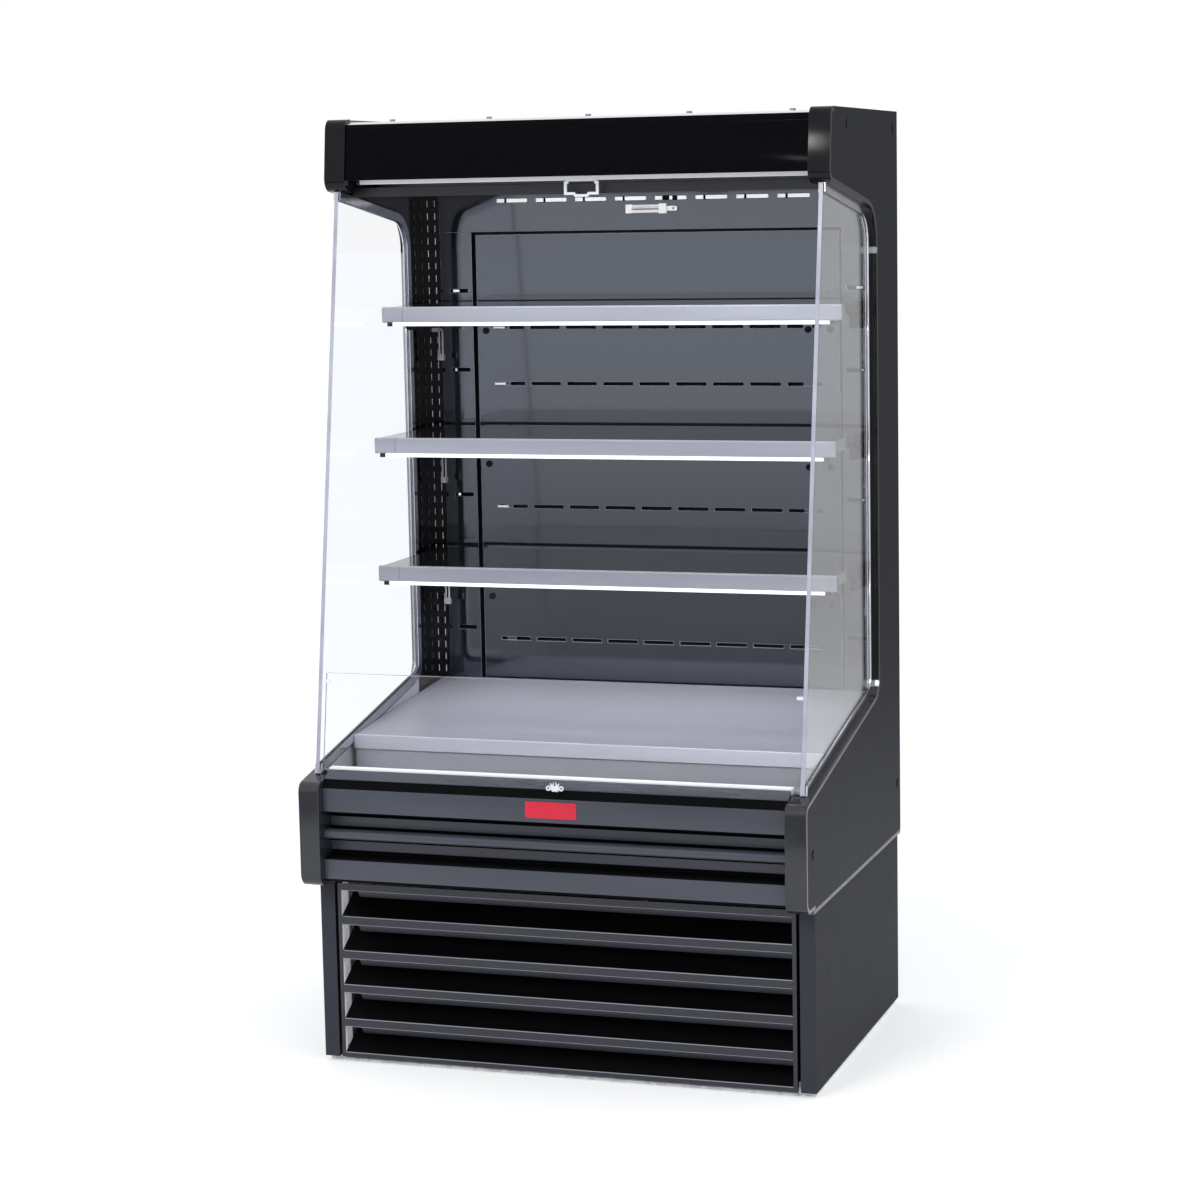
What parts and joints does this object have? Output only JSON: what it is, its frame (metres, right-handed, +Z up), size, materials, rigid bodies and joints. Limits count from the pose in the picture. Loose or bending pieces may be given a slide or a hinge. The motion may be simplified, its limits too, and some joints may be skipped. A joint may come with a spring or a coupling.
{
  "type": "open merchandiser",
  "caption": "Upright open-front refrigerated merchandiser with glass ends, tilting shelves, a sloped deck, a night curtain and a louvred self-contained base.",
  "frame": {"origin": "on the floor under the middle of the cabinet's bounding box", "axes": "+Z up, -Y towards the open front, +X towards the viewer's right when facing the front"},
  "size_m": [0.994, 0.765, 1.806],
  "materials": {
    "foamed_panel": "gloss",
    "black_paint": "semi-gloss",
    "black_moulding": "high gloss",
    "grey_paint": "satin",
    "grey_rail": "satin",
    "galvanised_steel": "spangled",
    "pale_trim": "satin",
    "clear_acrylic": "clear",
    "white_plastic": "satin",
    "light_strip": "satin",
    "chrome_trim": "polished",
    "red_plate": "gloss",
    "black_plastic": "matte",
    "fan_plastic": "matte",
    "copper_line": "satin",
    "coil_aluminium": "mill",
    "compressor_paint": "semi-gloss",
    "curtain_cloth": "woven foil",
    "pale_lead": "satin"
  },
  "bodies": {
    "cabinet": {"base_frame": "galvanised_steel", "base_panels": "black_paint", "base_joint_trim": "pale_trim", "louvre_grille": "black_paint", "condenser_coil": "coil_aluminium", "condenser_fan_mount": "galvanised_steel", "compressor": "compressor_paint", "refrigerant_lines": "copper_line", "condensate_pan": "galvanised_steel", "electrical_box": "black_paint", "power_gland": "black_plastic", "end_panel_left": "foamed_panel", "end_panel_right": "foamed_panel", "rear_wall": "foamed_panel", "insulated_tub": "foamed_panel", "upper_end_caps": "black_moulding", "lower_end_caps": "black_moulding", "edge_strips": "black_moulding", "panel_plugs": "black_plastic", "screws_and_clips": "chrome_trim", "canopy_top": "foamed_panel", "canopy_front": "black_paint", "discharge_grille": "black_plastic", "duct_surround": "black_paint", "duct_centre_panel": "black_paint", "shelf_uprights": "black_paint", "thermometer": "white_plastic", "side_glass": "clear_acrylic", "glass_channels": "pale_trim", "riser_glass": "clear_acrylic", "riser_holder": "white_plastic", "bumper_moulding": "black_moulding", "bumper_bar": "black_moulding", "badge_plate": "red_plate", "curtain_hook": "chrome_trim", "deck_pan": "grey_paint", "deck_price_rail": "grey_rail", "return_air_grille": "black_paint", "evaporator_coil": "coil_aluminium", "evaporator_fan_plate": "black_paint", "shelf_light_leads": "pale_lead"},
    "curtain_bar": {"curtain_pull_bar": "white_plastic", "pull_handle": "white_plastic"},
    "curtain_roller": {"curtain_roller": "curtain_cloth"},
    "condenser_fan": {"condenser_fan": "fan_plastic"},
    "evaporator_fan_left": {"evaporator_fan_left": "fan_plastic"},
    "evaporator_fan_right": {"evaporator_fan_right": "fan_plastic"},
    "light_switch": {"light_switch": "black_plastic"},
    "shelf_1": {"shelf_1_pan": "black_paint", "shelf_1_brackets": "black_paint", "shelf_1_price_rail": "grey_rail", "shelf_1_light": "light_strip"},
    "shelf_2": {"shelf_2_pan": "black_paint", "shelf_2_brackets": "black_paint", "shelf_2_price_rail": "grey_rail", "shelf_2_light": "light_strip"},
    "shelf_3": {"shelf_3_pan": "black_paint", "shelf_3_brackets": "black_paint", "shelf_3_price_rail": "grey_rail", "shelf_3_light": "light_strip"}
  },
  "joints": [
    {"name": "curtain_slide", "type": "slide", "parent": "cabinet", "child": "curtain_bar", "axis": [0, -0.2121, -0.9773], "range_m": [0, 1.098], "stiffness_N_per_m": 8, "springref_m": -1.5},
    {"name": "roller_turn", "type": "hinge", "parent": "cabinet", "child": "curtain_roller", "pos_m": [0, -0.1365, 1.73], "axis": [-1, 0, 0], "range_deg": [0, 3180]},
    {"name": "condenser_fan_spin", "type": "hinge", "parent": "cabinet", "child": "condenser_fan", "pos_m": [-0.13, -0.1455, 0.158], "axis": [0, 1, 0], "continuous": true},
    {"name": "evaporator_fan_left_spin", "type": "hinge", "parent": "cabinet", "child": "evaporator_fan_left", "pos_m": [-0.19, -0.1448, 0.477], "axis": [0, 1, 0], "continuous": true},
    {"name": "evaporator_fan_right_spin", "type": "hinge", "parent": "cabinet", "child": "evaporator_fan_right", "pos_m": [0.19, -0.1448, 0.477], "axis": [0, 1, 0], "continuous": true},
    {"name": "light_switch_rock", "type": "hinge", "parent": "cabinet", "child": "light_switch", "pos_m": [0.34, -0.2275, 0.166], "axis": [1, 0, 0], "range_deg": [0, 24]},
    {"name": "shelf_1_tilt", "type": "hinge", "parent": "cabinet", "child": "shelf_1", "pos_m": [0, 0.29725, 1.432], "axis": [-1, 0, 0], "range_deg": [0, 10]},
    {"name": "shelf_2_tilt", "type": "hinge", "parent": "cabinet", "child": "shelf_2", "pos_m": [0, 0.29725, 1.178], "axis": [-1, 0, 0], "range_deg": [0, 10]},
    {"name": "shelf_3_tilt", "type": "hinge", "parent": "cabinet", "child": "shelf_3", "pos_m": [0, 0.29725, 0.924], "axis": [-1, 0, 0], "range_deg": [0, 10]}
  ],
  "couplings": [
    {"joint": "roller_turn", "follows": "curtain_slide", "rad_per_m": 50}
  ]
}
